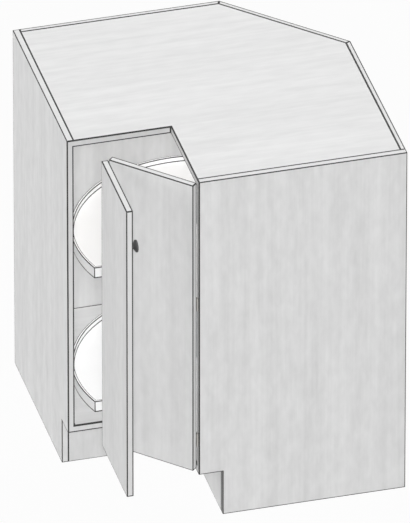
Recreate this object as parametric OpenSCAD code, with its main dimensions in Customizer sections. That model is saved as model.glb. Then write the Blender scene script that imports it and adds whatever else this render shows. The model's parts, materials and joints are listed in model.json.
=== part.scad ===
// Corner base cabinet for a kitchen: an L-shaped carcass with its room corner cut off,
// a two-leaf folding door in the inner corner and a two-tray carousel inside.
// Millimetres. The origin is where the two room walls meet the floor: the left arm
// runs along the wall y = 0, the right arm along the wall x = 0, and +z is up.

/* [Carcass] */
// Length of each arm along its wall, from the room corner
run = 750; // [700:1:900]
// Depth of each arm, out from its wall
depth = 500; // [480:1:560]
// Length that the cut-off room corner takes from each wall
corner_cut = 250; // [180:1:300]
// Height of the carcass, floor to top
height = 930; // [820:1:960]
// Thickness of the end panels
side_board = 16; // [15:1:22]
// Thickness of the top and bottom decks
deck_board = 18; // [15:1:25]
// Thickness of the back panels
back_board = 12; // [8:1:18]
// Thickness of the edge banding on the carcass and the doors
band = 1; // [0.4:0.1:2]

/* [Plinth] */
// Height of the toe kick, floor to bottom deck
kick_h = 120; // [80:1:150]
// How far the kick boards stand back from the front edges
kick_recess = 58; // [40:1:80]
// Thickness of the kick boards
kick_board = 16; // [12:1:22]
// Side of the square battens that carry the bottom deck
cleat = 25; // [18:1:40]

/* [Wall rails] */
// Height of the rails that take the wall screws
rail_h = 80; // [60:1:120]
// Thickness of the wall rails
rail_t = 16; // [12:1:22]
// Distance between the two wall screws of a rail
rail_hole_pitch = 300; // [200:10:350]
// Diameter of the wall screw holes
rail_hole_d = 6; // [4:0.5:8]

/* [Doors] */
// Thickness of the door leaves
door_board = 16; // [15:1:22]
// Air gap between a shut door and the carcass
door_back_gap = 2; // [1.8:0.1:4]
// Gap where the two leaves meet in the corner
leaf_gap = 2; // [1.5:0.1:4]
// Distance from the top of the doors to the top of the carcass
door_top_gap = 3; // [2:0.5:10]
// Angle that the hung leaf stands open
leaf_open = 45; // [0:1:165]
// Angle that the knob leaf is folded in
leaf_fold = 45; // [0:1:83]

/* [Hinges] */
// Height of one hinge
hinge_h = 34; // [26:1:60]
// Height of the lower cabinet hinge above the bottom of the doors
hinge_low = 79; // [40:1:160]
// Height of the upper cabinet hinge above the bottom of the doors
hinge_high = 456; // [300:1:560]
// Distance from the fold hinges to the top and bottom of the leaves
fold_hinge_inset = 110; // [60:1:200]
// How far the pins of the fold hinges lie in front of the leaves' faces
fold_pin_out = 0.5; // [0.2:0.1:2]
// Outer diameter of a hinge knuckle
knuckle_d = 5; // [4.5:0.1:6]
// Diameter of a hinge pin
pin_d = 2.5; // [2:0.1:3]
// Thickness of the hinge plates
plate_t = 0.8; // [0.6:0.05:0.85]
// Width of the hinge plates on the boards
plate_w = 9; // [8:0.5:11]

/* [Knob] */
// Diameter of the knob
knob_d = 30; // [24:1:36]
// How far the knob stands out from the door
knob_out = 21; // [16:0.5:23]
// Distance from the knob's centre to the free edge of its leaf
knob_edge = 40; // [25:1:60]
// Distance from the knob's centre to the top of its leaf
knob_drop = 124; // [60:1:400]

/* [Carousel] */
// Gap between the trays and the end panels
tray_side_gap = 31; // [20:1:60]
// Gap between the trays and the cut-off back corner
tray_back_gap = 50; // [25:1:80]
// Height of the underside of the lower tray above the bottom deck
tray_low = 27; // [24:1:60]
// Height of the underside of the upper tray above the bottom deck
tray_high = 400; // [280:1:500]
// Height of the trays' rims
tray_h = 30; // [24:1:50]
// Width of the trays' rims
rim_w = 6; // [3:0.5:9]
// Thickness of the trays' floors
tray_floor = 3; // [2:0.5:5]
// How far the tray floors lie below the rims
tray_depth = 13; // [10:1:22]
// Gap between the front planes of the carcass and the trays' cut edges
tray_front_gap = 3; // [2:0.5:15]
// Outer diameter of the post
post_d = 38; // [30:1:42]
// Wall of the post
post_wall = 2; // [1.5:0.5:3]

/* [Hidden] */
$fn = 64;

// Colours
laminate = "#dadad8";
laminate_door = "#d3d3d1";
banding = "#e2e2e0";
raw_wood = "#cdb893";
dark_knob = "#3f3f3f";
tray_white = "#f8f8f6";
nylon = "#ececea";
steel = "#b9bbbd";
post_metal = "#c9cbcd";

// Clearances
eps = 0.01;          // how far a cut runs past the face it opens
fit = 0.1;           // between pieces that slide together at assembly
run_fit = 0.05;      // radial, between a pin and what turns on it
face_gap = 0.3;      // between faces that pass or turn on each other
knuckle_gap = 0.5;   // round a hinge knuckle

// Carcass levels and planes
deck_low_z = kick_h;
inside_low_z = deck_low_z + deck_board;
deck_high_z = height - deck_board;
inner_side = run - side_board;
kick_face = depth - kick_recess;
corner_angle = 45;
mitre = back_board * tan(corner_angle / 2);
past = run;          // longer than any cut needs

// Doors
leaf_low_z = inside_low_z;
leaf_h = height - door_top_gap - leaf_low_z;
leaf_back = depth + door_back_gap;
leaf_front = leaf_back + door_board;
knuckle_r = knuckle_d / 2;
knuckle_set = knuckle_r + knuckle_gap;
hinge_inset = knuckle_r - knuckle_gap;
leaf_near = leaf_front + leaf_gap;
hang_y = run - hinge_inset;
leaf_far = hang_y - knuckle_set;
hang_axis = [-(depth + knuckle_set), -hang_y, 0];
fold_set = leaf_front + fold_pin_out;
fold_axis = [-fold_set, -fold_set, 0];

// Hinges
knuckle_count = 3;
knuckle_h = (hinge_h - (knuckle_count - 1) * face_gap) / knuckle_count;
cabinet_hinge_z = [leaf_low_z + hinge_low, leaf_low_z + hinge_high];
fold_hinge_z = [leaf_low_z + fold_hinge_inset, leaf_low_z + leaf_h - fold_hinge_inset];
plate_screw_d = 2.8;
plate_screw_head = 4.8;
plate_screw_l = 12;
plate_screw_step = hinge_h / 4;
plate_screw_in = 4.95;   // from the plate's near edge
plate_screw_set = knuckle_set + plate_screw_in;

// Knob
knob_neck_d = 13;
knob_foot_d = 17;
knob_foot_h = 3;
knob_brim_h = 4;
knob_round = 1;
knob_shoulder = 2;
knob_crown = 0.6;
stud_d = 4;
stud_in_leaf = 12;
stud_in_knob = 12;
knob_x = -(leaf_far - knob_edge);
knob_z = leaf_low_z + leaf_h - knob_drop;

// Screws and dowels of the carcass
screw_d = 4;
screw_head_d = 8;
screw_head_h = 2.4;
dowel_d = 8;
dowel_l = 30;
dowel_in_side = 10;
dowel_from_front = 60;
dowel_from_back = 130;

// Battens and joining blocks
cleat_gap = 6;
cleat_screw_bite = 11;
cleat_screw_l = cleat + cleat_screw_bite;
cleat_screw_from_end = 50;
corner_cleat_from_end = 50;
block_l = 40;
block_s = 20;
block_screw_bite = 8;
block_screw_l = block_s + block_screw_bite;
block_from_front = 90;
block_from_back = 110;

// Carousel. The axis stands where the trays clear the end panels and the cut-off
// corner by their two gaps, to the nearest millimetre.
axis_set = round((run - side_board - tray_side_gap + back_board + tray_back_gap
    + corner_cut * sin(corner_angle)) / (1 + sqrt(2)));
axis_at = [-axis_set, -axis_set, 0];
tray_r = inner_side - axis_set - tray_side_gap;
cut_plane = depth - axis_set - tray_front_gap;
boss_r = 35;
boss_h = 40;
rib_t = 3;
rib_count = 8;
rib_lift = 1;
post_r = post_d / 2;
post_bore_r = post_r - post_wall;
pivot_plate_r = 45;
pivot_plate_t = 3;
spindle_r = 8;
spindle_h = 30;
washer_r = 18;
washer_t = 4;
plug_l = 40;
plug_flange_t = 6;
head_pin_r = 6;
head_pin_l = 29;
head_plate_r = 35;
head_flange_t = 4;
head_room = 5;
collar_h = 14;
collar_r = 27;
pivot_screw_l = 14;
pivot_screw_count = 3;
pivot_screw_ring = 32;
head_screw_ring = 24;
grub_d = 5;
grub_l = 7.5;
hub_screw_z = 10;
post_low_z = inside_low_z + pivot_plate_t + washer_t + face_gap + plug_flange_t;
post_high_z = deck_high_z - pivot_plate_t - head_room - head_flange_t;
tray_low_z = inside_low_z + tray_low;
tray_high_z = inside_low_z + tray_high;
tray_z = [tray_low_z, tray_high_z];

// ---- helpers ----

// The right arm is the left arm mirrored in the vertical plane x = y
module right_arm() { mirror([1, -1, 0]) children(); }

// A board between two corners, given as [x, y, z]
module board(low, high) { translate(low) cube(high - low); }

// Plan outline of the two decks, kept back from the front edges for their banding
module deck_plan(front_set) {
    polygon([
        [-inner_side, -depth + front_set], [-depth + front_set, -depth + front_set],
        [-depth + front_set, -inner_side], [-back_board, -inner_side],
        [-back_board, -corner_cut - mitre], [-corner_cut - mitre, -back_board],
        [-inner_side, -back_board]
    ]);
}

// A countersunk screw that points along +z, with the top of its head at z = 0
module screw(d, head_d, head_h, l, extra = 0) {
    cylinder(d1 = head_d + 2 * extra, d2 = d + 2 * extra, h = head_h);
    translate([0, 0, head_h - eps])
        cylinder(d = d + 2 * extra, h = l - head_h + eps + extra);
}
module carcass_screw(l, extra = 0) {
    screw(screw_d, screw_head_d, screw_head_h, l, extra);
}

// ---- carcass ----

// Where the decks are dowelled to the end panel of the left arm, as [y, z]
dowel_ys = [-depth + dowel_from_front, -(depth + back_board) / 2,
    -back_board - dowel_from_back];
dowel_zs = [deck_low_z + deck_board / 2, deck_high_z + deck_board / 2];
module arm_dowels(extra = 0) {
    for (y = dowel_ys, z = dowel_zs)
        translate([-inner_side - dowel_in_side - extra, y, z]) rotate([0, 90, 0])
            cylinder(d = dowel_d + 2 * extra, h = dowel_l + 2 * extra);
}

// End panel of the left arm, with its toe notch
module end_panel() {
    difference() {
        board([-run, -depth + band, 0], [-inner_side, 0, height]);
        board([-run - eps, -depth, -eps], [-inner_side + eps, -kick_face, kick_h]);
        arm_dowels(fit);
        arm_block_screws(fit);
    }
}
module end_panel_left() { color(laminate) end_panel(); }
module end_panel_right() {
    color(laminate) difference() {
        right_arm() end_panel();
        cabinet_hinge_screws_at(run_fit);
    }
}

// Back panel of the left arm: mitred where it meets the corner panel
module back_panel() {
    difference() {
        linear_extrude(height) polygon([
            [-inner_side, 0], [-corner_cut, 0],
            [-corner_cut - mitre, -back_board], [-inner_side, -back_board]
        ]);
        wall_holes();
    }
}
module back_panel_left() { color(laminate) back_panel(); }
module back_panel_right() { color(laminate) right_arm() back_panel(); }
module back_panel_corner() {
    color(laminate) linear_extrude(height) polygon([
        [-corner_cut, 0], [0, -corner_cut],
        [-back_board, -corner_cut - mitre], [-corner_cut - mitre, -back_board]
    ]);
}

module top_deck() {
    color(laminate) difference() {
        translate([0, 0, deck_high_z]) linear_extrude(deck_board) deck_plan(band);
        arm_dowels(fit);
        right_arm() arm_dowels(fit);
        arm_block_screws(fit);
        right_arm() arm_block_screws(fit);
        corner_block_screws(fit);
        pivot_screws_top(fit);
    }
}
module bottom_deck() {
    color(laminate) difference() {
        translate([0, 0, deck_low_z]) linear_extrude(deck_board) deck_plan(band);
        arm_dowels(fit);
        right_arm() arm_dowels(fit);
        cleat_screws_at(fit);
        pivot_screws_bottom(fit);
    }
}

// Banding on the front edges: of each end panel, and of each deck in both arms
module arm_bands() {
    board([-run, -depth, kick_h], [-inner_side, -depth + band, height]);
    for (z = [deck_low_z, deck_high_z])
        board([-inner_side, -depth, z], [-depth, -depth + band, z + deck_board]);
}
module carcass_edge_bands() {
    color(banding) {
        arm_bands();
        difference() {
            right_arm() arm_bands();
            cabinet_hinge_screws_at(run_fit);
        }
    }
}

module panel_dowels() {
    color(raw_wood) {
        arm_dowels();
        right_arm() arm_dowels();
    }
}

// ---- plinth ----

module kick_board_left() {
    color(laminate) board([-inner_side, -kick_face, 0],
        [-kick_face + kick_board, -kick_face + kick_board, kick_h]);
}
// The right kick board butts against the left one
module kick_board_right() {
    color(laminate) board([-kick_face, -inner_side, 0],
        [-kick_face + kick_board, -kick_face, kick_h]);
}
// Glue block in the corner behind the kick boards
module kick_corner_block() {
    color(raw_wood) board([-kick_face + kick_board, -kick_face + kick_board, 0],
        [-kick_face + kick_board + cleat, -kick_face + kick_board + cleat,
            kick_h - cleat_gap]);
}

// Battens under the bottom deck: along the end panel, the kick board and the back
cleat_low_z = kick_h - cleat;
end_cleat_y = [-kick_face + kick_board + cleat + cleat_gap,
    -back_board - cleat - cleat_gap];
back_cleat_x = [-inner_side, -corner_cut - mitre - cleat];
corner_cleat_l = sqrt(2) * corner_cut - 2 * corner_cleat_from_end;
corner_mid = -(corner_cut / 2 + back_board / sqrt(2));
module arm_cleats() {
    board([-inner_side, end_cleat_y[0], cleat_low_z],
        [-inner_side + cleat, end_cleat_y[1], kick_h]);
    board([back_cleat_x[0], -back_board - cleat, cleat_low_z],
        [back_cleat_x[1], -back_board, kick_h]);
}
module corner_cleat() {
    translate([corner_mid, corner_mid, cleat_low_z]) rotate([0, 0, -corner_angle])
        translate([-corner_cleat_l / 2, -cleat, 0])
            cube([corner_cleat_l, cleat, cleat]);
}
module arm_cleat_screws(extra = 0) {
    for (y = [end_cleat_y[0] + cleat_screw_from_end, end_cleat_y[1] - cleat_screw_from_end])
        translate([-inner_side + cleat / 2, y, cleat_low_z])
            carcass_screw(cleat_screw_l, extra);
    for (x = [back_cleat_x[0] + cleat + cleat_screw_from_end,
        back_cleat_x[1] - cleat_screw_from_end])
        translate([x, -back_board - cleat / 2, cleat_low_z])
            carcass_screw(cleat_screw_l, extra);
}
module cleat_screws_at(extra = 0) {
    arm_cleat_screws(extra);
    right_arm() arm_cleat_screws(extra);
    corner_in = cleat / (2 * sqrt(2));
    translate([corner_mid - corner_in, corner_mid - corner_in, cleat_low_z])
        carcass_screw(cleat_screw_l, extra);
}
module deck_cleats() {
    color(raw_wood) difference() {
        union() {
            arm_cleats();
            right_arm() arm_cleats();
            corner_cleat();
        }
        cleat_screws_at(fit);
    }
}
module cleat_screws() { color(steel) cleat_screws_at(); }

// ---- wall rails and joining blocks ----

rail_x = [-inner_side, -corner_cut - mitre - rail_t];
rail_mid_x = (rail_x[0] + rail_x[1]) / 2;
rail_low_z = deck_high_z - rail_h;
module wall_holes() {
    for (side = [-1, 1])
        translate([rail_mid_x + side * rail_hole_pitch / 2, eps, rail_low_z + rail_h / 2])
            rotate([90, 0, 0])
                cylinder(d = rail_hole_d, h = back_board + rail_t + 2 * eps);
}
module wall_rail() {
    difference() {
        board([rail_x[0], -back_board - rail_t, rail_low_z],
            [rail_x[1], -back_board, deck_high_z]);
        wall_holes();
    }
}
module wall_rail_left() { color(raw_wood) wall_rail(); }
module wall_rail_right() { color(raw_wood) right_arm() wall_rail(); }

// Blocks under the top deck, screwed sideways to the end panels and up into the deck
block_ys = [-depth + block_from_front, -back_board - block_from_back];
block_z = deck_high_z - block_s;
module arm_blocks() {
    for (y = block_ys)
        board([-inner_side, y - block_l / 2, block_z],
            [-inner_side + block_s, y + block_l / 2, deck_high_z]);
}
module arm_block_screws(extra = 0) {
    for (y = block_ys) {
        translate([-inner_side + block_s / 2, y - block_l / 4, block_z])
            carcass_screw(block_screw_l, extra);
        translate([-inner_side + block_s, y + block_l / 4, block_z + block_s / 2])
            rotate([0, -90, 0]) carcass_screw(block_screw_l, extra);
    }
}
module corner_block() {
    translate([corner_mid, corner_mid, block_z]) rotate([0, 0, -corner_angle])
        translate([-block_l / 2, -block_s, 0]) cube([block_l, block_s, block_s]);
}
module corner_block_screws(extra = 0) {
    corner_in = block_s / (2 * sqrt(2));
    translate([corner_mid - corner_in, corner_mid - corner_in, block_z])
        carcass_screw(block_screw_l, extra);
}
module joining_blocks() {
    color(nylon) difference() {
        union() {
            arm_blocks();
            right_arm() arm_blocks();
            corner_block();
        }
        arm_block_screws(fit);
        right_arm() arm_block_screws(fit);
        corner_block_screws(fit);
    }
}
module joining_block_screws() {
    color(steel) {
        arm_block_screws();
        right_arm() arm_block_screws();
        corner_block_screws();
    }
}

// ---- door places ----

// Turns what is drawn shut to where the hung leaf stands open
module hung_place() {
    translate(hang_axis) rotate([0, 0, leaf_open]) translate(-hang_axis) children();
}
// The knob leaf also folds about the hinge between the leaves
module knob_place() {
    hung_place() translate(fold_axis) rotate([0, 0, leaf_fold])
        translate(-fold_axis) children();
}

// ---- hinges ----

// Knuckles round the axis at the origin: the outer pair, or the middle one
module knuckles(middle) {
    for (i = middle ? [1] : [0, 2])
        translate([0, 0, i * (knuckle_h + face_gap)]) children();
}
// One half of a hinge: a plate on the plane x = face that runs to +y, its knuckles and webs.
// The plate lies on the side of the plane that sign gives.
module hinge_half(face, sign, middle) {
    plate_x = sign > 0 ? face : face - plate_t;
    difference() {
        union() {
            translate([plate_x, knuckle_set, 0]) cube([plate_t, plate_w, hinge_h]);
            knuckles(middle) {
                cylinder(r = knuckle_r, h = knuckle_h);
                translate([plate_x, 0, 0]) cube([plate_t, knuckle_set + eps, knuckle_h]);
                if (sign < 0) translate([plate_x - knuckle_gap, 0, 0])
                    cube([plate_t + knuckle_gap, knuckle_set - face_gap, knuckle_h]);
            }
        }
        translate([0, 0, -eps]) cylinder(d = pin_d + 2 * run_fit, h = hinge_h + 2 * eps);
        hinge_half_screws(face, sign, fit);
    }
}
// Two flush screws through a plate, into the board behind the plane x = face
module hinge_half_screws(face, sign, extra = 0) {
    for (end = [-1, 1])
        translate([face + sign * plate_t, plate_screw_set,
            hinge_h / 2 + end * plate_screw_step])
            rotate([0, -90 * sign, 0])
                screw(plate_screw_d, plate_screw_head, plate_t, plate_screw_l, extra);
}
module hinge_pin() {
    translate([0, 0, -face_gap]) cylinder(d = pin_d, h = hinge_h + 2 * face_gap);
    for (z = [-face_gap - plate_t, hinge_h + face_gap])
        translate([0, 0, z]) cylinder(r = knuckle_r - knuckle_gap, h = plate_t);
}

// Places a hinge at each height on an axis
module at_heights(axis, heights) {
    for (z = heights) translate([axis[0], axis[1], z - hinge_h / 2]) children();
}

// Cabinet hinges: one half lies on the end panel's front edge, the other on the
// back of the hung leaf, and both fit in the gap behind the shut door
end_face = knuckle_set;
leaf_face = knuckle_set - door_back_gap;
module cabinet_hinge_screws_at(extra = 0) {
    at_heights(hang_axis, cabinet_hinge_z) hinge_half_screws(end_face, -1, extra);
}
module cabinet_hinge_plates() {
    color(steel) at_heights(hang_axis, cabinet_hinge_z) hinge_half(end_face, -1, true);
}
module cabinet_hinge_pins() {
    color(steel) at_heights(hang_axis, cabinet_hinge_z) hinge_pin();
}
module cabinet_hinge_screws() { color(steel) cabinet_hinge_screws_at(); }
module hung_leaf_hinge_plates() {
    color(steel) hung_place() at_heights(hang_axis, cabinet_hinge_z)
        hinge_half(leaf_face, 1, false);
}

// Fold hinges: their plates lie on the ends of the leaves, and the knuckles are let
// into the leaves' front edges
fold_face = fold_pin_out - leaf_gap;
module fold_knuckle_rooms() {
    room = knuckle_gap + plate_t + face_gap;
    at_heights(fold_axis, fold_hinge_z) translate([0, 0, -room])
        cylinder(r = knuckle_set, h = hinge_h + 2 * room);
}
module fold_half(middle) {
    at_heights(fold_axis, fold_hinge_z) hinge_half(fold_face, 1, middle);
}
module fold_half_screws(extra = 0) {
    at_heights(fold_axis, fold_hinge_z) hinge_half_screws(fold_face, 1, extra);
}
module fold_hinge_plates_hung() {
    color(steel) hung_place() right_arm() fold_half(true);
}
module fold_hinge_pins() {
    color(steel) hung_place() at_heights(fold_axis, fold_hinge_z) hinge_pin();
}
module fold_hinge_plates_knob() { color(steel) knob_place() fold_half(false); }

// ---- door leaves ----

// A leaf, shut, across the left arm: the hung leaf is its mirror image
module leaf_board(set) {
    board([-leaf_far + set, -leaf_front, leaf_low_z + set],
        [-leaf_near - set, -leaf_back, leaf_low_z + leaf_h - set]);
}
module leaf_bands() {
    difference() {
        leaf_board(0);
        board([-leaf_far + band, -leaf_front - eps, leaf_low_z + band],
            [-leaf_near - band, -leaf_back + eps, leaf_low_z + leaf_h - band]);
        fold_half_screws(run_fit);
        fold_knuckle_rooms();
    }
}
module hung_leaf_screws_at(extra = 0) {
    at_heights(hang_axis, cabinet_hinge_z) hinge_half_screws(leaf_face, 1, extra);
    right_arm() fold_half_screws(extra);
}
module door_leaf_hung() {
    color(laminate_door) hung_place() difference() {
        right_arm() leaf_board(band);
        hung_leaf_screws_at(run_fit);
        fold_knuckle_rooms();
    }
}
module hung_leaf_bands() { color(banding) hung_place() right_arm() leaf_bands(); }
module hung_leaf_screws() { color(steel) hung_place() hung_leaf_screws_at(); }

module door_leaf_knob() {
    color(laminate_door) knob_place() difference() {
        leaf_board(band);
        fold_half_screws(run_fit);
        fold_knuckle_rooms();
        knob_stud_at(fit);
    }
}
module knob_leaf_bands() { color(banding) knob_place() leaf_bands(); }
module knob_leaf_screws() { color(steel) knob_place() fold_half_screws(); }

// ---- knob ----

// The knob's own axis, drawn as +z, stands out from the front of its shut leaf
module on_knob_axis() {
    translate([knob_x, -leaf_front, knob_z]) rotate([90, 0, 0]) children();
}
module knob_stud_at(extra = 0) {
    on_knob_axis() translate([0, 0, -stud_in_leaf - extra])
        cylinder(d = stud_d + 2 * extra, h = stud_in_leaf + stud_in_knob + 2 * extra);
}
module door_knob() {
    color(dark_knob) knob_place() difference() {
        on_knob_axis() rotate_extrude() polygon([
            [0, 0], [knob_foot_d / 2, 0],
            [knob_foot_d / 2 - knob_round, knob_foot_h - knob_round],
            [knob_neck_d / 2, knob_foot_h + knob_round],
            [knob_neck_d / 2, knob_out / 2],
            [knob_d / 2 - knob_round, knob_out - knob_brim_h - knob_shoulder],
            [knob_d / 2, knob_out - knob_brim_h],
            [knob_d / 2 - knob_round, knob_out - knob_shoulder],
            [knob_d / 2 - knob_brim_h, knob_out - knob_crown],
            [0, knob_out]
        ]);
        knob_stud_at(fit);
    }
}
module knob_stud() { color(steel) knob_place() knob_stud_at(); }

// ---- carousel ----

module at_axis() { translate(axis_at) children(); }

// Screws in a ring round the axis, driven down (+1 up) from the plane z
module ring_screws(ring, z, up, extra) {
    at_axis() for (i = [0 : pivot_screw_count - 1])
        rotate([0, 0, i * 360 / pivot_screw_count]) translate([ring, 0, z])
            rotate([up ? 0 : 180, 0, 0]) carcass_screw(pivot_screw_l, extra);
}
module pivot_screws_bottom(extra = 0) {
    ring_screws(pivot_screw_ring, inside_low_z + pivot_plate_t, false, extra);
}
module pivot_screws_top(extra = 0) {
    ring_screws(head_screw_ring, deck_high_z - pivot_plate_t, true, extra);
}
module pivot_screws() {
    color(steel) {
        pivot_screws_bottom();
        pivot_screws_top();
    }
}
module pivot_plate_bottom() {
    color(steel) difference() {
        at_axis() translate([0, 0, inside_low_z]) {
            cylinder(r = pivot_plate_r, h = pivot_plate_t);
            cylinder(r = spindle_r, h = pivot_plate_t + spindle_h);
        }
        pivot_screws_bottom(fit);
    }
}
// Nylon washer that the post turns on
module pivot_washer() {
    color(nylon) at_axis() translate([0, 0, inside_low_z + pivot_plate_t])
        difference() {
            cylinder(r = washer_r, h = washer_t);
            translate([0, 0, -eps]) cylinder(r = spindle_r + fit, h = washer_t + 2 * eps);
        }
}
module pivot_plate_top() {
    color(steel) difference() {
        at_axis() translate([0, 0, deck_high_z - pivot_plate_t]) {
            cylinder(r = head_plate_r, h = pivot_plate_t);
            translate([0, 0, -head_pin_l]) cylinder(r = head_pin_r, h = head_pin_l + eps);
        }
        pivot_screws_top(fit);
    }
}

module carousel_post() {
    color(post_metal) at_axis() translate([0, 0, post_low_z]) difference() {
        cylinder(r = post_r, h = post_high_z - post_low_z);
        translate([0, 0, -eps]) cylinder(r = post_bore_r, h = height);
    }
}
module post_foot_plug() {
    color(nylon) at_axis() difference() {
        union() {
            translate([0, 0, post_low_z - plug_flange_t])
                cylinder(r = post_r, h = plug_flange_t);
            translate([0, 0, post_low_z - eps])
                cylinder(r = post_bore_r - fit, h = plug_l + eps);
        }
        translate([0, 0, post_low_z - plug_flange_t - eps])
            cylinder(r = spindle_r + run_fit, h = spindle_h);
    }
}
module post_head_plug() {
    color(nylon) at_axis() difference() {
        union() {
            translate([0, 0, post_high_z]) cylinder(r = post_r, h = head_flange_t);
            translate([0, 0, post_high_z - plug_l])
                cylinder(r = post_bore_r - fit, h = plug_l + eps);
        }
        translate([0, 0, post_high_z - plug_l - eps])
            cylinder(r = head_pin_r + run_fit, h = plug_l + head_flange_t + 2 * eps);
    }
}

// Plan of a tray, shrunk by inset: a disc without the quarter that faces the door
module tray_plan(inset) {
    difference() {
        circle(r = tray_r - inset, $fn = 128);
        translate((-cut_plane + inset - past) * [1, 1]) square(past);
    }
}
module tray() {
    floor_z = tray_h - tray_depth;
    difference() {
        union() {
            linear_extrude(tray_h) difference() {
                tray_plan(0);
                tray_plan(rim_w);
            }
            translate([0, 0, floor_z - tray_floor]) linear_extrude(tray_floor)
                tray_plan(rim_w - eps);
            cylinder(r = boss_r, h = boss_h);
            translate([0, 0, rib_lift])
                linear_extrude(floor_z - tray_floor - rib_lift + eps) intersection() {
                    tray_plan(rim_w - eps);
                    for (i = [0 : rib_count - 1]) rotate(i * 360 / rib_count)
                        translate([boss_r - rib_t, -rib_t / 2]) square([tray_r, rib_t]);
                }
        }
        translate([0, 0, -eps]) cylinder(r = post_r + fit, h = boss_h + 2 * eps);
        hub_hole(boss_h - hub_screw_z, boss_r);
    }
}
// A set screw that bears on the post, at height z above its hub's underside, and the
// hole that it sits in, through one wall of the hub
module hub_screw(z) {
    translate([post_r + fit, 0, z]) rotate([0, 90, 0]) cylinder(d = grub_d, h = grub_l);
}
module hub_hole(z, hub_r) {
    translate([0, 0, z]) rotate([0, 90, 0])
        cylinder(d = grub_d + 2 * run_fit, h = hub_r + grub_d);
}
module collar() {
    difference() {
        cylinder(r = collar_r, h = collar_h);
        translate([0, 0, -eps]) cylinder(r = post_r + fit, h = collar_h + 2 * eps);
        hub_hole(collar_h / 2, collar_r);
    }
}
module at_tray(z) { at_axis() translate([0, 0, z]) children(); }
module tray_lower() { color(tray_white) at_tray(tray_low_z) tray(); }
module tray_upper() { color(tray_white) at_tray(tray_high_z) tray(); }
module collar_lower() { color(nylon) at_tray(tray_low_z - collar_h) collar(); }
module collar_upper() { color(nylon) at_tray(tray_high_z - collar_h) collar(); }
module hub_screws() {
    color(steel) for (z = tray_z) {
        at_tray(z) hub_screw(boss_h - hub_screw_z);
        at_tray(z - collar_h) hub_screw(collar_h / 2);
    }
}

end_panel_left();
end_panel_right();
back_panel_left();
back_panel_corner();
back_panel_right();
top_deck();
bottom_deck();
carcass_edge_bands();
kick_board_left();
kick_board_right();
kick_corner_block();
deck_cleats();
cleat_screws();
wall_rail_left();
wall_rail_right();
joining_blocks();
joining_block_screws();
panel_dowels();
cabinet_hinge_plates();
cabinet_hinge_pins();
cabinet_hinge_screws();
pivot_plate_bottom();
pivot_washer();
pivot_plate_top();
pivot_screws();
door_leaf_hung();
hung_leaf_bands();
hung_leaf_hinge_plates();
hung_leaf_screws();
fold_hinge_plates_hung();
fold_hinge_pins();
door_leaf_knob();
knob_leaf_bands();
fold_hinge_plates_knob();
knob_leaf_screws();
door_knob();
knob_stud();
carousel_post();
post_foot_plug();
post_head_plug();
tray_lower();
tray_upper();
collar_lower();
collar_upper();
hub_screws();
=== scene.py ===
import json
import math

import bmesh
import bpy
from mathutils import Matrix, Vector

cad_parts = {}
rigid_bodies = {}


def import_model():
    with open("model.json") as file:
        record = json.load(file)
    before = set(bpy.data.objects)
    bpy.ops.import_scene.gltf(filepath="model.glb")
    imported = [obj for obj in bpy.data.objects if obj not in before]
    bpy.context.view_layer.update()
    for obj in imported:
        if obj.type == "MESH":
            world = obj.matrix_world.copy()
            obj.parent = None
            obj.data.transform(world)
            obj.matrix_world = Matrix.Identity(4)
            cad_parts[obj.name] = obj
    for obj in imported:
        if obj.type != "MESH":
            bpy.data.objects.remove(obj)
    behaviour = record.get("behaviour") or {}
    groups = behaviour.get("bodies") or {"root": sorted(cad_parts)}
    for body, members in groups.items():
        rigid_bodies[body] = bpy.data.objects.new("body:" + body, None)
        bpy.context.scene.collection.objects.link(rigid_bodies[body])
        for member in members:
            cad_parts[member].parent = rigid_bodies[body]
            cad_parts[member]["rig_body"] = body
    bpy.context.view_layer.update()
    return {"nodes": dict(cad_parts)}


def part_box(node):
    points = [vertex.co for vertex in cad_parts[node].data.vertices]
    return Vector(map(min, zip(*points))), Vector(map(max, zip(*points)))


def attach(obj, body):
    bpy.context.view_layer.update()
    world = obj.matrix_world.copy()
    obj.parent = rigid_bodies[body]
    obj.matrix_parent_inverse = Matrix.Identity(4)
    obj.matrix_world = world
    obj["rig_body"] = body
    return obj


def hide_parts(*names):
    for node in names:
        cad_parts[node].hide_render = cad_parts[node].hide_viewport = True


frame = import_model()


# ---- end panels and backs ----
# Melamine-faced chipboard, 16 mm at the ends and 12 mm at the backs, stood on the floor.
# The facing is printed as whitewashed wood with upright grain. Its cut edges are eased
# with a file, which bares a thin dark line of board and glue along every edge.

MM = 0.001


def colour(code):
    """Linear RGBA of an sRGB colour written as hex"""
    parts = [int(code[i:i + 2], 16) / 255 for i in (1, 3, 5)]
    line = [c / 12.92 if c <= 0.04045 else ((c + 0.055) / 1.055) ** 2.4 for c in parts]
    return (*line, 1.0)


def add(tree, kind, settings=None, links=None):
    """Adds a node to a material's tree, sets its properties and sockets, and links them"""
    node = tree.nodes.new(kind)
    for name, value in (settings or {}).items():
        if isinstance(name, int) or name in node.inputs:
            node.inputs[name].default_value = value
        else:
            setattr(node, name, value)
    for name, socket in (links or {}).items():
        tree.links.new(socket, node.inputs[name])
    return node


def new_object(name, data):
    """An object with the given mesh, lamp or camera, placed in the scene"""
    item = bpy.data.objects.new(name, data)
    bpy.context.scene.collection.objects.link(item)
    return item


def new_finish(name):
    """An empty material: its node tree and its Principled shader, linked to the output"""
    finish = bpy.data.materials.new(name)
    finish.use_nodes = True
    tree = finish.node_tree
    tree.nodes.clear()
    shader = add(tree, "ShaderNodeBsdfPrincipled")
    add(tree, "ShaderNodeOutputMaterial", links={"Surface": shader.outputs[0]})
    return finish, tree, shader


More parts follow.
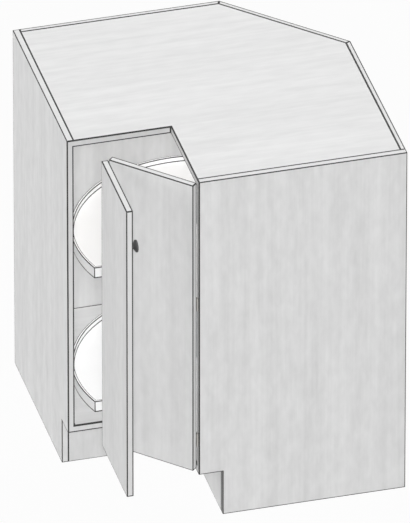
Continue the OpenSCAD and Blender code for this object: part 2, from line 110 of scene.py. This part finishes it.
def printed_melamine(name, pale, shade, along, band=(36, 1500), mottle=(18, 42)):
    """Whitewashed wood print under a matt melamine coat. The eye sees broad pale bands
    that run with the grain, small mottles over them, fine pores and a low sheen."""
    finish, tree, shader = new_finish(name)
    place = add(tree, "ShaderNodeTexCoord").outputs["Object"]

    def drawn_out(size, start):
        """Noise with the given sizes in mm across the grain and along it. Each layer
        starts at a place of its own, so that no two layers agree."""
        sizes = [1 / (size[0] * MM)] * 3
        sizes[along] = 1 / (size[1] * MM)
        point = add(tree, "ShaderNodeMapping", {"Scale": sizes, "Location": (start,) * 3},
                    {"Vector": place})
        return add(tree, "ShaderNodeTexNoise", {"Scale": 1.0, "Detail": 2.0},
                   {"Vector": point.outputs[0]}).outputs["Fac"]

    bands = drawn_out(band, 3.7)
    mottles = drawn_out(mottle, 11.3)
    streaks = drawn_out((7, 300), 17.1)
    fibres = drawn_out((1.6, 50), 23.9)   # real pores are 0.3 mm: drawn coarser to show
    mixed = add(tree, "ShaderNodeMath", {"operation": "MULTIPLY", 1: 0.4}, {0: bands})
    for share, layer in ((0.34, mottles), (0.18, streaks), (0.08, fibres)):
        mixed = add(tree, "ShaderNodeMath", {"operation": "MULTIPLY_ADD", 1: share},
                    {0: layer, 2: mixed.outputs[0]})
    tone = add(tree, "ShaderNodeMapRange", {"From Min": 0.36, "From Max": 0.64},
               {"Value": mixed.outputs[0]}).outputs[0]
    print_colour = add(tree, "ShaderNodeMix",
                       {"data_type": "RGBA", 6: colour(shade), 7: colour(pale)}, {0: tone})
    tree.links.new(print_colour.outputs[2], shader.inputs["Base Color"])
    gloss = add(tree, "ShaderNodeMapRange", {"To Min": 0.55, "To Max": 0.65},
                {"Value": streaks})
    tree.links.new(gloss.outputs[0], shader.inputs["Roughness"])
    relief = add(tree, "ShaderNodeBump", {"Strength": 0.25, "Distance": 0.08 * MM},
                 {"Height": fibres})
    tree.links.new(relief.outputs[0], shader.inputs["Normal"])
    shader.inputs["IOR"].default_value = 1.5
    shader.inputs["Specular IOR Level"].default_value = 0.3
    return finish


def bare_chipboard_and_painted_shade(name, dark, pale):
    """Chips and glue that show where a faced board is eased. The eye sees small broken
    flecks with no shine, and a thin dark line where the strip is narrow. In a mid grey
    the same flecks are painted shade on narrow edges."""
    finish, tree, shader = new_finish(name)
    place = add(tree, "ShaderNodeTexCoord").outputs["Object"]
    chip = 3 * MM
    chips = add(tree, "ShaderNodeTexNoise", {"Scale": 1 / chip, "Detail": 2.0},
                {"Vector": place})
    flecks = add(tree, "ShaderNodeMix",
                 {"data_type": "RGBA", 6: colour(dark), 7: colour(pale)},
                 {0: chips.outputs["Fac"]})
    tree.links.new(flecks.outputs[2], shader.inputs["Base Color"])
    shader.inputs["Roughness"].default_value = 0.8
    return finish


def flat_stretches(mesh):
    """The mesh's faces in groups that lie flush with one another"""
    flush_angle = 0.02
    grouped, stretches = set(), []
    for first in mesh.faces:
        if first in grouped:
            continue
        grouped.add(first)
        stretch = [first]
        for face in stretch:
            for edge in face.edges:
                for other in edge.link_faces:
                    if other not in grouped and edge.calc_face_angle(math.pi) < flush_angle:
                        grouped.add(other)
                        stretch.append(other)
        stretches.append(stretch)
    return stretches


FACE, LINE, TOP, SHADED_EDGE = range(4)   # the order of the finishes that a board has


def lay_lines(mesh, width):
    """Gives every flat stretch of a board its finish and a line of the given width along
    its edges. A strip too narrow to hold a print between its lines is line throughout."""
    fewest_widths = 2.5
    widest_edge_strip = 20 * MM
    facing = 0.9   # a face looks along an axis when its normal has this much of it
    for stretch in flat_stretches(mesh):
        area = sum(face.calc_area() for face in stretch)
        length = max(edge.calc_length() for face in stretch for edge in face.edges)
        narrow = area < fewest_widths * width * length
        edge_strip = area < widest_edge_strip * length
        for face in stretch:
            face.smooth = False
            face.material_index = FACE
            if narrow:
                face.material_index = LINE
            # upward faces take the paler print: painted light from above
            elif face.normal.z > facing:
                face.material_index = TOP
            # narrow edges that face left take the darker finish: painted shade
            elif edge_strip and face.normal.x < -facing:
                face.material_index = SHADED_EDGE
        if not narrow:
            lines = bmesh.ops.inset_region(mesh, faces=stretch, thickness=width,
                                           use_even_offset=True, use_boundary=True)
            for face in lines["faces"]:
                face.material_index = LINE
                face.smooth = False


def ease_arrises(mesh):
    """Rounds the long edges of a board as a file does"""
    arris, shortest, sharp = 0.3 * MM, 10 * MM, math.radians(30)
    arrises = [edge for edge in mesh.edges if len(edge.link_faces) == 2
               and edge.calc_length() > shortest and edge.calc_face_angle() > sharp]
    bmesh.ops.bevel(mesh, geom=arrises, offset=arris, segments=2, profile=0.5,
                    affect="EDGES", material=LINE, clamp_overlap=True)


def lined_board(node, rim, faces, line, top=None, shaded_edges=None):
    """Copies a CAD board and lays a line of the given width in mm along every edge, on
    both faces that meet there. Its upward faces can take a paler finish, painted light
    from above, and the narrow edges that face the left arm a darker one, painted shade."""
    weld, flat = 0.002 * MM, math.radians(1)
    source = frame["nodes"][node]
    piece = new_object(node + "_board", source.data.copy())
    piece.data.materials.clear()
    for finish in (faces, line, top or faces, shaded_edges or faces):
        piece.data.materials.append(finish)
    mesh = bmesh.new()
    mesh.from_mesh(piece.data)
    bmesh.ops.remove_doubles(mesh, verts=mesh.verts, dist=weld)
    bmesh.ops.dissolve_limit(mesh, angle_limit=flat, verts=mesh.verts, edges=mesh.edges)
    lay_lines(mesh, rim * MM)
    ease_arrises(mesh)
    low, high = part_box(node)
    for vert in mesh.verts:
        vert.co = [min(max(c, a), b) for c, a, b in zip(vert.co, low, high)]
    mesh.to_mesh(piece.data)
    mesh.free()
    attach(piece, source["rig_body"])
    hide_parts(node)
    return piece


upright_melamine = printed_melamine("whitewashed_melamine_upright", "#dcdcdc", "#cccccc", 2)
# The backs' print is darker than the end panels': painted shade inside the cabinet.
back_melamine_painted_shade = printed_melamine("whitewashed_melamine_backs_painted_shade", "#d3d3d3", "#c6c6c6", 2)
board_line = bare_chipboard_and_painted_shade("bare_board_edge", "#242424", "#383838")
# Upward edges take a paler print than the faces: painted light from above.
paler_top_print = printed_melamine("upward_edge_melamine_painted_light", "#e9e9e9", "#e1e1e1", 0)
# Narrow edges of the end panels that face left take a mid grey: painted shade.
painted_shade_edge = bare_chipboard_and_painted_shade("grey_chipboard_painted_shade", "#6a6a6a", "#808080")
for panel in ("end_panel_left", "end_panel_right"):
    lined_board(panel, 2, upright_melamine, board_line, paler_top_print, painted_shade_edge)
for panel in ("back_panel_left", "back_panel_corner", "back_panel_right"):
    lined_board(panel, 2.6, back_melamine_painted_shade, board_line, paler_top_print)


# ---- decks ----
# Top and bottom of faced chipboard, 18 mm thick, let in between the end panels and the
# backs. Their grain runs along the left wall. The top one's print is paler than the end
# panels': painted light from above. The bottom one's is darker: painted shade inside.

for deck, rim, name, pale, shade in (
        ("top_deck", 2, "whitewashed_melamine_deck_painted_light", "#ededed", "#e1e1e1"),
        ("bottom_deck", 3, "whitewashed_melamine_low_deck_painted_shade", "#d0d0d0", "#c4c4c4")):
    deck_melamine = printed_melamine(name, pale, shade, 0, band=(30, 900), mottle=(14, 60))
    lined_board(deck, rim, deck_melamine, board_line)


# ---- kick boards ----
# The toe kick's two boards, cut from the same faced chipboard as the end panels. They
# stand under the bottom deck and are joined at their corner by a glue block.

kick_melamine = printed_melamine("whitewashed_melamine_kick", "#d5d5d5", "#c7c7c7", 2)
for kick in ("kick_board_left", "kick_board_right"):
    lined_board(kick, 1.5, kick_melamine, board_line)


# ---- softwood inside ----
# Spruce, planed and left bare, that holds the carcass together out of sight: the glue
# block behind the kick boards' corner, the battens screwed under the bottom deck, the
# wall rails, and the dowels in the ends of the decks.

def planed_softwood(name):
    """Unfinished planed spruce. The eye sees warm straw-coloured bands of year rings
    with darker late wood between them."""
    finish, tree, shader = new_finish(name)
    place = add(tree, "ShaderNodeTexCoord").outputs["Object"]
    ring = 4 * MM    # a face sawn flat shows each year ring about six times as wide
    wave_rate = 20   # the wave texture's own factor on its scale
    rings = add(tree, "ShaderNodeTexWave",
                {"wave_type": "BANDS", "bands_direction": "Z",
                 "Scale": 1 / ring / wave_rate, "Distortion": 3.0, "Detail": 2.0,
                 "Detail Scale": 0.5}, {"Vector": place})
    wood = add(tree, "ShaderNodeMix",
               {"data_type": "RGBA", 6: colour("#d9c39b"), 7: colour("#bf9f6c")},
               {0: rings.outputs["Fac"]})
    tree.links.new(wood.outputs[2], shader.inputs["Base Color"])
    relief = add(tree, "ShaderNodeBump", {"Strength": 0.3, "Distance": 0.1 * MM},
                 {"Height": rings.outputs["Fac"]})
    tree.links.new(relief.outputs[0], shader.inputs["Normal"])
    shader.inputs["Roughness"].default_value = 0.65
    return finish


def finish_nodes(names, finish):
    """Gives CAD nodes that keep their own shape their finish"""
    for name in names:
        data = frame["nodes"][name].data
        data.materials.clear()
        data.materials.append(finish)


spruce = planed_softwood("planed_spruce")
finish_nodes(("kick_corner_block", "deck_cleats", "wall_rail_left", "wall_rail_right",
              "panel_dowels"), spruce)


# ---- edge bands ----
# ABS strip 1 mm thick, ironed onto the front edges of the carcass and all four edges of
# each door leaf, then trimmed flush. It is printed to match the boards.

carcass_band = printed_melamine("printed_abs_band", "#d3d3d3", "#cacaca", 2)
leaf_band = printed_melamine("printed_abs_band_of_the_leaves", "#dbdbdb", "#d2d2d2", 2)
# Upward faces wide enough for a print take the paler top print: painted light from above.
for bands, rim, melamine in (("carcass_edge_bands", 3, carcass_band),
                             ("hung_leaf_bands", 2.7, leaf_band),
                             ("knob_leaf_bands", 2.7, leaf_band)):
    lined_board(bands, rim, melamine, board_line, paler_top_print)


# ---- door leaves ----
# Two leaves of 16 mm faced chipboard, banded all round, that fold together. Their print
# is a shade darker than the end panels', with upright grain.

leaf_melamine = printed_melamine("whitewashed_melamine_leaf", "#d8d8d8", "#cbcbcb", 2)
for leaf in ("door_leaf_hung", "door_leaf_knob"):
    lined_board(leaf, 0.8, leaf_melamine, board_line)


# ---- hinges ----
# Butt hinges pressed from steel sheet, with a drawn pin, and nickel plated. Two hang the
# door on the right end panel and two let it fold. Their plates are screwed on.

def plated_steel(name, tone, roughness, blotch):
    """Steel with a thin plated coat. The eye sees a soft grey metal with faint clouds of
    the given size in mm in its shine."""
    finish, tree, shader = new_finish(name)
    place = add(tree, "ShaderNodeTexCoord").outputs["Object"]
    clouds = add(tree, "ShaderNodeTexNoise", {"Scale": 1 / (blotch * MM), "Detail": 3.0},
                 {"Vector": place}).outputs["Fac"]
    brightest, dullest = roughness - 0.06, roughness + 0.08
    rough = add(tree, "ShaderNodeMapRange", {"To Min": brightest, "To Max": dullest},
                {"Value": clouds})
    tree.links.new(rough.outputs[0], shader.inputs["Roughness"])
    shader.inputs["Base Color"].default_value = colour(tone)
    shader.inputs["Metallic"].default_value = 1.0
    return finish


nickel = plated_steel("nickel_plated_steel", "#b4b2ae", 0.3, 6)
finish_nodes(("cabinet_hinge_plates", "cabinet_hinge_pins", "hung_leaf_hinge_plates",
              "fold_hinge_plates_hung", "fold_hinge_pins", "fold_hinge_plates_knob"), nickel)


# ---- screws and pivot plates ----
# Steel, cold formed or turned, then zinc plated: all the screws, the knob's stud, and the
# two plates with a spindle and a pin that the post turns between.

zinc = plated_steel("zinc_plated_steel", "#c0c2c6", 0.38, 4)
finish_nodes(("cleat_screws", "joining_block_screws", "cabinet_hinge_screws",
              "pivot_plate_bottom", "pivot_plate_top", "pivot_screws", "hung_leaf_screws",
              "knob_leaf_screws", "knob_stud", "hub_screws"), zinc)


# ---- joining blocks and nylon parts ----
# Moulded from natural nylon: the blocks screwed under the top deck, the washer that the
# post turns on, its two end plugs, and the collars that carry the trays.

def moulded_plastic(name, tone, shadow_tone, roughness, grit):
    """Moulded plastic. The eye sees an even milky colour and a soft sheen, broken a
    little by the mould's texture, whose grit is given in mm."""
    flow = 80 * MM   # size of the faint tints that the melt leaves
    finish, tree, shader = new_finish(name)
    place = add(tree, "ShaderNodeTexCoord").outputs["Object"]
    texture = add(tree, "ShaderNodeTexNoise", {"Scale": 1 / (grit * MM), "Detail": 2.0},
                  {"Vector": place}).outputs["Fac"]
    tint = add(tree, "ShaderNodeTexNoise", {"Scale": 1 / flow, "Detail": 1.0},
               {"Vector": place}).outputs["Fac"]
    shade = add(tree, "ShaderNodeMix",
                {"data_type": "RGBA", 6: colour(shadow_tone), 7: colour(tone)}, {0: tint})
    tree.links.new(shade.outputs[2], shader.inputs["Base Color"])
    relief = add(tree, "ShaderNodeBump", {"Strength": 0.15, "Distance": 0.05 * MM},
                 {"Height": texture})
    tree.links.new(relief.outputs[0], shader.inputs["Normal"])
    shader.inputs["Roughness"].default_value = roughness
    shader.inputs["IOR"].default_value = 1.53
    return finish


nylon = moulded_plastic("natural_nylon", "#ebebe7", "#e2e2dc", 0.5, 2)
finish_nodes(("joining_blocks", "pivot_washer", "post_foot_plug", "post_head_plug",
              "collar_lower", "collar_upper"), nylon)


# ---- post ----
# Welded steel tube of 38 mm, drawn to size and satin nickel plated. The plugs are pushed
# into its ends.

post_steel = plated_steel("satin_drawn_tube", "#c4c6c8", 0.34, 9)
finish_nodes(("carousel_post",), post_steel)


# ---- trays ----
# Injection-moulded white polystyrene: three-quarter discs with a raised rim, a hub that
# slides on the post and eight ribs under the floor. Each rests on a collar, and a set
# screw holds it.

hub_at = Vector((-390 * MM, -390 * MM, 0))


def moulded_tray(node):
    """The tray in the place of a CAD tray, with the soft edges of a moulding"""
    low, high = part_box(node)
    radius = high.x - hub_at.x
    cut = 107 * MM         # the cut corner's sides, from the axis
    rim, rim_top = 6 * MM, 30 * MM
    wall, floor_top = 3 * MM, 17 * MM
    draft = 0.5 * MM
    ease = 0.4 * MM        # round of the rim's edges
    seam = 2.1 * MM        # width of the grey seams
    lip = 1.6 * MM         # how far they reach over the rim
    arc_steps = 120
    mesh = bmesh.new()

    def plan(inset, z):
        """Ring of the tray's outline moved in by inset: the long arc, then the cut corner"""
        reach = radius - inset
        side = cut - inset
        lean = math.asin(side / reach)
        start = -math.pi / 2 - lean
        sweep = 1.5 * math.pi + 2 * lean
        angles = [start + sweep * i / arc_steps for i in range(arc_steps + 1)]
        ring = [(reach * math.cos(angle), reach * math.sin(angle)) for angle in angles]
        ring.append((-side, -side))
        return [mesh.verts.new((hub_at.x + x, hub_at.y + y, low.z + z)) for x, y in ring]

    def skin(rings, tones):
        """Joins rings of equal count with strips of quads, each strip in its own tone,
        and caps the first ring and the last"""
        for a, b, tone in zip(rings, rings[1:], tones):
            for i in range(len(a)):
                j = (i + 1) % len(a)
                mesh.faces.new((a[i], a[j], b[j], b[i])).material_index = tone
        mesh.faces.new(list(reversed(rings[0])))
        mesh.faces.new(rings[-1])

    # the rim's section: inset, height, and the tone of the strip up to the next point
    white, grey = 0, 1
    section = [(rim - draft, floor_top - wall, white), (rim - draft, 0, white),
               (draft + ease, 0, grey), (draft, ease, grey), (draft, 1.5 * seam, white),
               (0, rim_top - seam, grey), (0, rim_top - ease, grey), (ease, rim_top, grey),
               (lip, rim_top, white), (rim - lip, rim_top, grey),
               (rim - ease, rim_top, grey), (rim, rim_top - ease, grey),
               (rim, rim_top - seam, white), (rim + draft, floor_top + seam, grey),
               (rim + draft, floor_top, grey), (rim + draft + seam / 2, floor_top, white)]
    skin([plan(inset, z) for inset, z, tone in section], [tone for inset, z, tone in section])
    mesh.normal_update()
    sharp, corner_round = 0.9, 1.5 * MM
    corners = [edge for edge in mesh.edges if edge.calc_face_angle(0) > sharp
               and abs(edge.verts[0].co.z - edge.verts[1].co.z) > seam]
    bmesh.ops.bevel(mesh, geom=corners, offset=corner_round, segments=3, profile=0.5,
                    affect="EDGES", material=grey)

    def turned(profile, steps=48):
        """A closed ring of the profile's (radius, height) points, turned about the post"""
        rings = []
        for i in range(steps):
            angle = 2 * math.pi * i / steps
            rings.append([mesh.verts.new((hub_at.x + r * math.cos(angle),
                                          hub_at.y + r * math.sin(angle), low.z + z))
                          for r, z in profile])
        for i in range(steps):
            a, b = rings[i], rings[(i + 1) % steps]
            for k in range(len(profile)):
                m = (k + 1) % len(profile)
                mesh.faces.new((a[k], b[k], b[m], a[m]))

    bore, hub, hub_top, soft = 19.1 * MM, 35 * MM, 40 * MM, 1.5 * MM
    turned([(bore, 0), (hub - draft, 0), (hub, floor_top), (hub - draft, hub_top - soft),
            (hub - draft - 0.3 * soft, hub_top - 0.3 * soft), (hub - draft - soft, hub_top),
            (bore, hub_top)])

    rib, rib_count = 3 * MM, 8
    lift = 1 * MM          # from the hub's foot up to the ribs
    sunk = 1 * MM          # how far they run into the hub
    for i in range(rib_count):
        angle = 2 * math.pi * i / rib_count
        out = Vector((math.cos(angle), math.sin(angle), 0))
        side = Vector((-out.y, out.x, 0)) * rib / 2
        near = hub - sunk
        far = radius - rim
        into_cut_corner = min(-out.x, -out.y) > 0.1
        if into_cut_corner:
            far = (cut - rim) / max(-out.x, -out.y)
        foot = hub_at + Vector((0, 0, low.z + lift))
        head = Vector((0, 0, floor_top - wall / 2 - lift))
        base = [foot + out * near - side, foot + out * far - side, foot + out * far + side,
                foot + out * near + side]
        skin([[mesh.verts.new(p) for p in base], [mesh.verts.new(p + head) for p in base]],
             [white])

    piece = new_object(node + "_moulding", bpy.data.meshes.new(node + "_moulding"))
    bmesh.ops.recalc_face_normals(mesh, faces=mesh.faces)
    for face in mesh.faces:
        face.smooth = True
    mesh.to_mesh(piece.data)
    mesh.free()
    piece.data.set_sharp_from_angle(angle=math.radians(50))
    piece.modifiers.new("flat faces stay flat", "WEIGHTED_NORMAL").keep_sharp = True
    return piece


polystyrene = moulded_plastic("moulded_white_polystyrene", "#fbfbfb", "#f6f6f6", 0.32, 3)
rim_line = moulded_plastic("grey_seam_of_the_moulding", "#2e2e2e", "#242424", 0.5, 3)
for tray in ("tray_lower", "tray_upper"):
    moulding = moulded_tray(tray)
    moulding.data.materials.append(polystyrene)
    moulding.data.materials.append(rim_line)
    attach(moulding, "carousel")
    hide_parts(tray)


# ---- knob ----
# A knob 30 mm across, cast in zinc and turned, with a black satin powder coat. A stud
# through the leaf holds it from behind.

def powder_coat(name, tone):
    """Satin black powder coat on a casting. The eye sees near-black with a broad dull
    highlight and a fine orange-peel skin."""
    dimple = 0.8 * MM
    finish, tree, shader = new_finish(name)
    place = add(tree, "ShaderNodeTexCoord").outputs["Object"]
    peel = add(tree, "ShaderNodeTexNoise", {"Scale": 1 / dimple, "Detail": 1.0},
               {"Vector": place}).outputs["Fac"]
    relief = add(tree, "ShaderNodeBump", {"Strength": 0.4, "Distance": 0.05 * MM},
                 {"Height": peel})
    tree.links.new(relief.outputs[0], shader.inputs["Normal"])
    rough = add(tree, "ShaderNodeMapRange", {"To Min": 0.4, "To Max": 0.55},
                {"Value": peel})
    tree.links.new(rough.outputs[0], shader.inputs["Roughness"])
    shader.inputs["Base Color"].default_value = colour(tone)
    return finish


def turned_knob(node):
    """A knob turned about the axis that stands out from its leaf: foot, neck and brim,
    with every corner rounded over"""
    low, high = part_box(node)
    # radius and distance from the leaf of each corner, in mm
    corners = [(0, 0), (8.5, 0), (8.5, 2.2), (6.5, 4), (6.5, 10.5), (14.2, 15.6), (15, 17),
               (15, 19.8), (13.6, 20.6), (0, 21)]
    ease = 1.2             # where the round of a corner starts, in mm from the corner
    most_of_side = 0.45    # and at most this share of the side
    round_steps, sides, least_radius = 4, 64, 0.01
    profile = [corners[0]]
    for before, corner, after in zip(corners, corners[1:], corners[2:]):
        near = []
        for other in (before, after):
            reach = Vector(other) - Vector(corner)
            near.append(Vector(corner) + reach * min(most_of_side, ease / reach.length))
        for step in range(round_steps + 1):
            t = step / round_steps
            profile.append(near[0] * (1 - t) ** 2 + Vector(corner) * 2 * t * (1 - t)
                           + near[1] * t ** 2)
    profile.append(corners[-1])
    mesh = bmesh.new()
    centre = (low + high) / 2
    angles = [2 * math.pi * i / sides for i in range(sides)]
    rings = []
    for point in profile:
        r, out = max(point[0], least_radius) * MM, point[1] * MM
        rings.append([mesh.verts.new((low.x + out, centre.y + r * math.cos(a),
                                      centre.z + r * math.sin(a))) for a in angles])
    for a, b in zip(rings, rings[1:]):
        for i in range(sides):
            mesh.faces.new((a[i], a[i - 1], b[i - 1], b[i])).smooth = True
    mesh.faces.new(rings[0])
    mesh.faces.new(rings[-1])
    bmesh.ops.recalc_face_normals(mesh, faces=mesh.faces)
    piece = new_object(node + "_turned", bpy.data.meshes.new(node + "_turned"))
    mesh.to_mesh(piece.data)
    mesh.free()
    return piece


black_coat = powder_coat("satin_black_powder_coat", "#3a3a3a")
knob = turned_knob("door_knob")
knob.data.materials.append(black_coat)
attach(knob, "knob_leaf")
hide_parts("door_knob")


# ---- studio ----
# A plain pale floor and eight soft boxes, four of them fills without shadow, because the
# drawing has no shadow inside. The camera has the drawing's view, nearly parallel, from
# the front left and above.

def seen_rays(tree):
    """1 for what the camera sees, straight or in a shiny or clear thing, and 0 for light
    that falls on the scene"""
    rays = add(tree, "ShaderNodeLightPath")
    seen = rays.outputs["Is Camera Ray"]
    for kind in ("Is Glossy Ray", "Is Transmission Ray"):
        seen = add(tree, "ShaderNodeMath", {"operation": "MAXIMUM"},
                   {0: seen, 1: rays.outputs[kind]}).outputs[0]
    return seen


bpy.context.scene.view_settings.view_transform = "Standard"
world = bpy.context.scene.world or bpy.data.worlds.new("studio")
bpy.context.scene.world = world
world.use_nodes = True
world.node_tree.nodes.clear()
light_cast, light_seen = 0.06, 0.99
level = add(world.node_tree, "ShaderNodeMapRange",
            {"To Min": light_cast, "To Max": light_seen},
            {"Value": seen_rays(world.node_tree)})
sky = add(world.node_tree, "ShaderNodeBackground", {"Color": colour("#ffffff")},
          {"Strength": level.outputs[0]})
add(world.node_tree, "ShaderNodeOutputWorld", links={"Surface": sky.outputs[0]})


def soft_box(name, azimuth, elevation, size, light, away=8.0, shadow=True):
    """A square soft box that faces the middle of the cabinet. A light of 1 makes a white
    card that faces it just white."""
    aim_height = 500 * MM
    lamp = new_object(name, bpy.data.lights.new(name, "AREA"))
    lamp.data.use_shadow = shadow
    across, up = math.radians(azimuth), math.radians(elevation)
    aim = Vector((math.sin(across) * math.cos(up), -math.cos(across) * math.cos(up),
                  math.sin(up)))
    lamp.data.size = size
    lamp.data.energy = light * (math.pi * away) ** 2
    lamp.location = hub_at + Vector((0, 0, aim_height)) + aim * away
    lamp.rotation_euler = (-aim).to_track_quat("-Z", "Y").to_euler()


soft_box("front_box", -15, 33, 2.0, 0.3, away=20.0)
soft_box("left_box", -105, 12, 4.0, 0.38)
soft_box("right_box", 90, 12, 4.0, 0.34)
soft_box("back_box", 165, 12, 4.0, 0.36)
soft_box("fill_from_above", 0, 90, 2.0, 0.44, shadow=False)
soft_box("fill_from_front", -15, 8, 2.0, 0.39, shadow=False)
soft_box("fill_from_left", -105, 12, 2.0, 0.14, shadow=False)
soft_box("fill_from_right", 60, 12, 2.0, 0.1, shadow=False)

pale_floor, tree, floor_shader = new_finish("pale_seamless_floor")
floor_shader.inputs["Base Color"].default_value = colour("#bebebe")
floor_shader.inputs["Roughness"].default_value = 0.9
floor_shader.inputs["Specular IOR Level"].default_value = 0.1
plain_share = 0.95   # how much of the floor that is seen is plain white, not lit
share = add(tree, "ShaderNodeMath", {"operation": "MULTIPLY", 1: plain_share},
            {0: seen_rays(tree)})
white = add(tree, "ShaderNodeEmission", {"Color": colour("#ffffff"), "Strength": 1.0})
both = add(tree, "ShaderNodeMixShader",
           links={0: share.outputs[0], 1: floor_shader.outputs[0], 2: white.outputs[0]})
tree.links.new(both.outputs[0], tree.nodes["Material Output"].inputs["Surface"])

floor_reach = 20.0
floor_mesh = bmesh.new()
bmesh.ops.create_grid(floor_mesh, x_segments=1, y_segments=1, size=floor_reach)
floor = new_object("studio_floor", bpy.data.meshes.new("studio_floor"))
floor_mesh.to_mesh(floor.data)
floor_mesh.free()
floor.data.materials.append(pale_floor)

azimuth, elevation = math.radians(-14.973), math.radians(32.942)
back = Vector((math.sin(azimuth) * math.cos(elevation),
               -math.cos(azimuth) * math.cos(elevation), math.sin(elevation)))
right = Vector((math.cos(azimuth), math.sin(azimuth), 0))
aim_height, shift_right, shift_up, distance = 465 * MM, 1.1 * MM, 3.6 * MM, 45.878
camera = new_object("camera", bpy.data.cameras.new("camera"))
camera.data.lens = 1350
camera.data.sensor_width = 36
camera.data.clip_end = 60
middle = (hub_at + Vector((0, 0, aim_height)) + right * shift_right
          + back.cross(right) * shift_up)
camera.location = middle + back * distance
camera.rotation_euler = (-back).to_track_quat("-Z", "Y").to_euler()
bpy.context.scene.camera = camera
